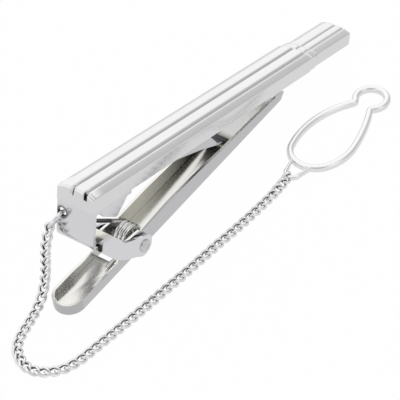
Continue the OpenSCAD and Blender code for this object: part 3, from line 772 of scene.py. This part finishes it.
def link_group():
    """The group that puts a twisted link on each point."""
    board, given, keys = geometry_group("links_on_points", {
        "Half length": "Float", "Width": "Float", "Wire": "Float", "Twist": "Float",
        "Squareness": "Float", "Material": "Material"})
    power = 1 - given["Squareness"]

    def place(angle):
        along = angle.cosine().powered(power)
        across = angle.sine().powered(power)*given["Width"]/2
        turn = given["Twist"]*along
        return along*given["Half length"], across*turn.cosine(), across*turn.sine()

    section = board.add("GeometryNodeCurvePrimitiveCircle", {}, {
        "Resolution": LINK_SIDES, "Radius": given["Wire"]/2})
    link = board.add("GeometryNodeCurveToMesh", {}, {
        "Curve": bent_circle(board, LINK_STEPS, place), "Profile Curve": section})
    facing = board.add("ShaderNodeVectorMath", {"operation": "DOT_PRODUCT"}, [
        board.add("GeometryNodeInputNormal", {}, {}),
        board.add("ShaderNodeVectorMath", {"operation": "NORMALIZE"}, [
            board.add("GeometryNodeInputPosition", {}, {})])], "Value")
    # Where a link faces its own middle, for the painted shade on its inner side
    link = board.add("GeometryNodeStoreNamedAttribute", {"data_type": "FLOAT", "domain": "POINT"}, {
        "Geometry": link, "Name": "inside", "Value": 0 - facing})
    named = {key: board.add("GeometryNodeInputNamedAttribute", {"data_type": "FLOAT_VECTOR"},
                            {"Name": key}) for key in ("turn", "stretch")}
    shape = board.add("GeometryNodeInstanceOnPoints", {}, {
        "Points": given["Geometry"], "Instance": link, "Rotation": named["turn"],
        "Scale": named["stretch"]})
    end_group(board, given, shape)
    return board.tree, keys


WIRE_TREE, WIRE_KEYS = wire_group()
LINK_TREE, LINK_KEYS = link_group()


def formed(source, tree, keys, values):
    """The plain mesh that the node group makes of the source mesh."""
    holder = bpy.data.objects.new("holder", source)
    bpy.context.scene.collection.objects.link(holder)
    form = holder.modifiers.new("form", "NODES")
    form.node_group = tree
    for label, value in values.items():
        form[keys[label]] = value
    seen = bpy.context.evaluated_depsgraph_get()
    mesh = bpy.data.meshes.new_from_object(holder.evaluated_get(seen), depsgraph=seen)
    bpy.data.objects.remove(holder)
    return mesh


def line_mesh(points, closed):
    """A line of points as a mesh with edges only."""
    mesh = bpy.data.meshes.new("line")
    count = len(points)
    edges = [(k, (k + 1) % count) for k in range(count if closed else count - 1)]
    mesh.from_pydata([tuple(q) for q in points], edges, [])
    return mesh


def wire_mesh(points, closed, node, width, height, square):
    """The mesh of a wire through points given in metres, with a node's finish."""
    return formed(line_mesh(points, closed), WIRE_TREE, WIRE_KEYS, {
        "Width": width*MM, "Height": height*MM, "Squareness": square,
        "Material": finish[slot_of[node]]})


def wire(name, points, node, width, closed=False, ride=True):
    """A round wire in place of a node."""
    mesh = wire_mesh(points, closed, node, width, width, 0.0)
    return dressed(name, mesh, node, smooth=60, ride=ride)


print("node groups:", WIRE_TREE.name, LINK_TREE.name)

# %% [markdown]
# ## The chain
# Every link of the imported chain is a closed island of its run's mesh. Its middle
# and its two longest directions give a point, a turn and a length, and the link
# group puts a smoother and slightly narrower link there.

# %% Chain
LINK_W, LINK_WIRE, LINK_TWIST, LINK_SQUARE = 1.02, 0.38, math.radians(50), 0.2
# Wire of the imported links, whose ends reach half of it past the middle line
PACKED_WIRE = 0.39


def link_places(node):
    """Middle, axes and half length of each link in a run."""
    work = bmesh.new()
    work.from_mesh(nodes[node].data)
    bmesh.ops.remove_doubles(work, verts=work.verts, dist=WELD)
    reached = set()
    for first in work.verts:
        if first in reached:
            continue
        reached.add(first)
        island = [first]
        # The list grows while it is walked, until it holds the whole link
        for vert in island:
            for edge in vert.link_edges:
                other = edge.other_vert(vert)
                if other not in reached:
                    reached.add(other)
                    island.append(other)
        cloud = np.array([v.co for v in island])
        middle = cloud.mean(0)
        axes = np.linalg.svd(cloud - middle, full_matrices=False)[2]
        along, across = Vector(axes[0]), Vector(axes[1])
        reach = (cloud - middle) @ axes[0]
        yield middle, along, across, (reach.max() - reach.min())/2
    work.free()


def chain_run(number):
    """Dresses one run of the chain, and returns its number of links."""
    node = f"chain_run_{number}"
    places = list(link_places(node))
    mesh = bpy.data.meshes.new(node)
    mesh.from_pydata([tuple(middle) for middle, *rest in places], [], [])
    turns = [Matrix((along, across, along.cross(across))).transposed().to_euler()
             for middle, along, across, reach in places]
    past = PACKED_WIRE*MM/2
    half = sum(reach for *rest, reach in places)/len(places) - past
    stretches = [((reach - past)/half, 1, 1) for *rest, reach in places]
    for key, values in (("turn", [tuple(t) for t in turns]), ("stretch", stretches)):
        layer = mesh.attributes.new(key, "FLOAT_VECTOR", "POINT")
        layer.data.foreach_set("vector", [v for row in values for v in row])
    links = formed(mesh, LINK_TREE, LINK_KEYS, {
        "Half length": half, "Width": LINK_W*MM, "Wire": LINK_WIRE*MM, "Twist": LINK_TWIST,
        "Squareness": LINK_SQUARE, "Material": finish["chain_wire"]})
    dressed(f"chain_links_{number}", links, node, smooth=60)
    return len(places)


runs = [chain_run(k) for k in range(1, 9)]
print("links in each run:", runs)

# %% [markdown]
# ## The clip ring, the spring and the button loop
# The ring goes through the hole in the end wall. The spring is one wire: a leg on
# the lever's floor, close turns round the pin and a leg on the end wall. The loop
# is one wire too: two arms made of tangent bends, and a ring with an open neck. A
# horseshoe of thinner wire is its eye, which holds the chain's last link.

# %% Ring and spring
RING_WIRE = 0.47
ring_hinge = Vector(joint["ring_swing"]["pos_m"])
ring_far = Vector(joint["chain_1_swing"]["pos_m"])
ring_out = (ring_far - ring_hinge).normalized()
ring_side = Vector(joint["ring_swing"]["axis"]).normalized()
ring_middle = (ring_hinge + ring_far)/2
RING_R = (ring_far - ring_hinge).length/2
ring_points = [ring_middle + RING_R*(ring_out*math.cos(t) + ring_side*math.sin(t))
               for t in np.linspace(0, TURN, 48, endpoint=False)]
clip_ring = wire("ring_of_wire", ring_points, "clip_ring", RING_WIRE, closed=True)

# Radius of the coil's middle line and its height above the pin's
SPRING_R, SPRING_Z = 1.46, 0.3
# Where the coil starts across the bar, its pitch and its wire, then turns and points in each
SPRING_FROM, SPRING_PITCH, SPRING_WIRE = -0.86, 0.6, 0.55
SPRING_TURNS, SPRING_STEPS = 3, 28
# The lower leg's end and bend, along the lever and above the pin's level
LEG_END, LEG_BEND = (-5.4, -0.1), (-4.2, -0.06)
# The end wall's sheet, the upper leg's gap to it, and that leg's height in the bar's axes
WALL, WALL_GAP, LEG_TOP = 0.45, 0.05, -3.0


def on_lever(s, up):
    """A point of the coil's plane, s along the lever and up above the pin's level."""
    return (PIN_ALONG + s*math.cos(LEVER_TURN) - up*math.sin(LEVER_TURN),
            -PIN_BELOW + s*math.sin(LEVER_TURN) + up*math.cos(LEVER_TURN))


def spring_points():
    """The spring's middle line in the bar's millimetres."""
    low, bend = on_lever(*LEG_END), on_lever(*LEG_BEND)
    top = (WALL + SPRING_WIRE/2 + WALL_GAP, LEG_TOP)
    centre = (PIN_ALONG, -PIN_BELOW + SPRING_Z)

    def tangent(p, way):
        v = (p[0] - centre[0], p[1] - centre[1])
        return math.atan2(v[1], v[0]) + way*math.acos(SPRING_R/math.hypot(*v))

    start, stop = tangent(bend, 1), tangent(top, -1) + SPRING_TURNS*TURN
    points = [(low[0], SPRING_FROM, low[1]), (bend[0], SPRING_FROM, bend[1])]
    steps = int((stop - start)/TURN*SPRING_STEPS)
    for k in range(steps + 1):
        a = start + (stop - start)*k/steps
        points.append((centre[0] + SPRING_R*math.cos(a),
                       SPRING_FROM + SPRING_PITCH*(a - start)/TURN,
                       centre[1] + SPRING_R*math.sin(a)))
    points.append((top[0], points[-1][1], top[1]))
    return points


spring = wire("spring_wire", [BAR @ Vector(q) for q in spring_points()], "torsion_spring",
              SPRING_WIRE, ride=False)
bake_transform(spring)
print("ring and spring:", len(clip_ring.data.polygons), len(spring.data.polygons))

# %% Button loop
LOOP_WIRE_W, LOOP_WIRE_H, LOOP_SQUARE = 0.92, 0.95, 0.25
LOOP_TURN = math.radians(-3.25)
# Radius and degrees of each bend, from the closed end to the neck
FAR_BENDS = ((3.346, 72.9), (13.132, 53.5))
NEAR_BENDS = ((3.388, 62.4), (7.056, 38.0), (26.894, 17.0))
BUTTON_RING_R = 2.1
chain_end = Vector(joint["loop_swing"]["pos_m"])/MM
# From the chain's last joint to the closed end, so that the loop stays close to the
# solids' box
CLOSED_END_STEP = (2.562, -0.10)
closed_end = Vector((chain_end.x + CLOSED_END_STEP[0], chain_end.y + CLOSED_END_STEP[1],
                     LOOP_WIRE_H/2))
# From the same joint to the eye's middle, and the eye's wire
EYE_STEP = (0.637, -0.16, -0.06)
EYE_R, EYE_WIRE_W, EYE_WIRE_H = 0.95, 0.52, 0.66
# Where the eye's two sides run into the loop's arms, along and across from the closed
# end, and how far above the loop's middle
EYE_MEETS, EYE_RISE = ((0.38, 1.55), (0.12, 0.9)), 0.08


def bend_line(bends, side):
    """Points along tangent bends from the closed end, x along the loop."""
    at, heading, points = Vector((0, 0)), math.pi/2, [Vector((0, 0))]
    for radius, degrees in bends:
        middle = at + radius*Vector((math.sin(heading), -math.cos(heading)))
        steps = max(6, int(degrees/4))
        for k in range(1, steps + 1):
            h = heading - math.radians(degrees)*k/steps
            points.append(middle + radius*Vector((-math.sin(h), math.cos(h))))
        at, heading = points[-1], heading - math.radians(degrees)
    return [Vector((q.x, q.y*side)) for q in points]


def round_corner(before, after, cut=0.5, steps=6):
    """Two lines that meet in a corner, joined by a tight bend."""
    corner = before[-1]
    first = [q for q in before if (q - corner).length > cut]
    second = [q for q in after if (q - corner).length > cut]
    a = corner + (first[-1] - corner).normalized()*cut
    b = corner + (second[0] - corner).normalized()*cut
    bend = [a*(1 - t)**2 + corner*2*t*(1 - t) + b*t**2 for t in np.linspace(0, 1, steps + 1)]
    return first + bend + second


def loop_line():
    """Both arms and the ring between their ends, as one closed line."""
    far, near = bend_line(FAR_BENDS, 1), bend_line(NEAR_BENDS, -1)
    neck = far[-1] - near[-1]
    out = Vector((neck.y, -neck.x)).normalized()
    middle = (far[-1] + near[-1])/2 + out*math.sqrt(BUTTON_RING_R**2 - neck.length_squared/4)
    start = math.atan2(near[-1].y - middle.y, near[-1].x - middle.x)
    stop = math.atan2(far[-1].y - middle.y, far[-1].x - middle.x)
    ring = [middle + BUTTON_RING_R*Vector((math.cos(a), math.sin(a)))
            for a in np.linspace(start, stop, 60)]
    ring[0], ring[-1] = near[-1], far[-1]
    line = round_corner(round_corner(near, ring), far[::-1])
    return line[:-1]


def on_table(point, height=0.0):
    """A point of the loop's own axes, in the part's metres."""
    c, s = math.cos(LOOP_TURN), math.sin(LOOP_TURN)
    turned_point = Vector((point.x*c - point.y*s, point.x*s + point.y*c, height))
    return (closed_end + turned_point)*MM


def eye_line():
    """A horseshoe round the chain's last link, whose sides run into the loop's arms."""
    eye = chain_end + Vector(EYE_STEP)
    bow = [(eye + EYE_R*Vector((math.cos(t), math.sin(t), 0)))*MM
           for t in np.linspace(TURN/4, 3*TURN/4, 19)]
    near = [on_table(Vector((along, -across)), EYE_RISE) for along, across in EYE_MEETS]
    far = [on_table(Vector((along, across)), EYE_RISE) for along, across in EYE_MEETS]
    return bow + near + [on_table(Vector((0, 0)), EYE_RISE)] + far[::-1]


loop_mesh = wire_mesh([on_table(q) for q in loop_line()], True, "button_loop",
                      LOOP_WIRE_W, LOOP_WIRE_H, LOOP_SQUARE)
eye_mesh = wire_mesh(eye_line(), True, "button_loop", EYE_WIRE_W, EYE_WIRE_H, LOOP_SQUARE)
both = bmesh.new()
both.from_mesh(loop_mesh)
both.from_mesh(eye_mesh)
both.to_mesh(loop_mesh)
both.free()
loop = dressed("loop_of_wire", loop_mesh, "button_loop", smooth=60)
print("loop:", len(loop.data.polygons), "faces")

# %% [markdown]
# ## Floor and light
# The photograph stands on pure white with hardly a shadow. The floor is pale and
# shows white to the camera, and a wide soft sky does the lighting.

# %% Floor
# The floor's tone in the metal, and the share of it that is plain white to the camera
FLOOR_IN_METAL = (0.79, 0.79, 0.795)
FLOOR_WHITE = 0.98
FLOOR_REACH, FLOOR_GAP = 0.6, 0.05*MM


def stage_floor():
    """A wide pale floor just under the part: white to the camera, light grey to the metal."""
    mesh = bpy.data.meshes.new("floor")
    mesh.from_pydata([(x*FLOOR_REACH, y*FLOOR_REACH, 0)
                      for x, y in ((-1, -1), (1, -1), (1, 1), (-1, 1))], [], [(0, 1, 2, 3)])
    floor = bpy.data.objects.new("floor", mesh)
    floor.location.z = -FLOOR_GAP
    bpy.context.scene.collection.objects.link(floor)
    material, board = new_material("floor_white")
    path = board.tree.nodes.new("ShaderNodeLightPath")
    camera_ray = Wire(board, path.outputs["Is Camera Ray"])
    glossy_ray = Wire(board, path.outputs["Is Glossy Ray"])
    tone = board.blend(glossy_ray, (1, 1, 1), FLOOR_IN_METAL)
    pale = board.add("ShaderNodeBsdfDiffuse", {}, {"Color": (0.95, 0.95, 0.95, 1)})
    shine = board.add("ShaderNodeEmission", {}, {"Color": tone, "Strength": 1.0})
    mixed = board.add("ShaderNodeMixShader", {}, [camera_ray*FLOOR_WHITE + glossy_ray, pale, shine])
    board.add("ShaderNodeOutputMaterial", {}, {"Surface": mixed})
    mesh.materials.append(material)
    return floor


floor = stage_floor()
print(floor.name, round(FLOOR_GAP/MM, 3), "mm under the part")

# %% Sky
# A plain level, and soft areas that make it brighter or dimmer: direction, cosine where
# the area begins and where it is full, and what it adds to the level
SKY_PLAIN = 1.0
SKY_AREAS = (((0.72, 0.66, 0.2), 0.6, 0.9, 0.08),
             ((0.80, -0.50, 0.25), 0.55, 0.9, -0.42),
             ((-0.57, -0.45, 0.69), 0.7, 0.95, -0.5))


def studio_sky():
    """A sky that is white to the camera, and white with a few soft areas to the metal."""
    world = bpy.data.worlds.new("studio")
    bpy.context.scene.world = world
    world.use_nodes = True
    world.node_tree.nodes.clear()
    board = Board(world.node_tree)
    path = board.tree.nodes.new("ShaderNodeLightPath")
    seen = Wire(board, path.outputs["Is Camera Ray"])
    x, y, z = board.split(board.add("ShaderNodeTexCoord", {}, {}, "Generated"))
    level = SKY_PLAIN
    for direction, begins, full, change in SKY_AREAS:
        a, b, c = Vector(direction).normalized()
        level = level + (x*a + y*b + z*c).above(begins, full)*change
    light = board.add("ShaderNodeBackground", {}, {
        "Color": (1, 1, 1, 1), "Strength": seen + (1 - seen)*level})
    board.add("ShaderNodeOutputWorld", {}, {"Surface": light})
    return world


studio = studio_sky()
bpy.context.scene.view_settings.view_transform = "Standard"
print(studio.name, "sky with", len(SKY_AREAS), "soft areas")
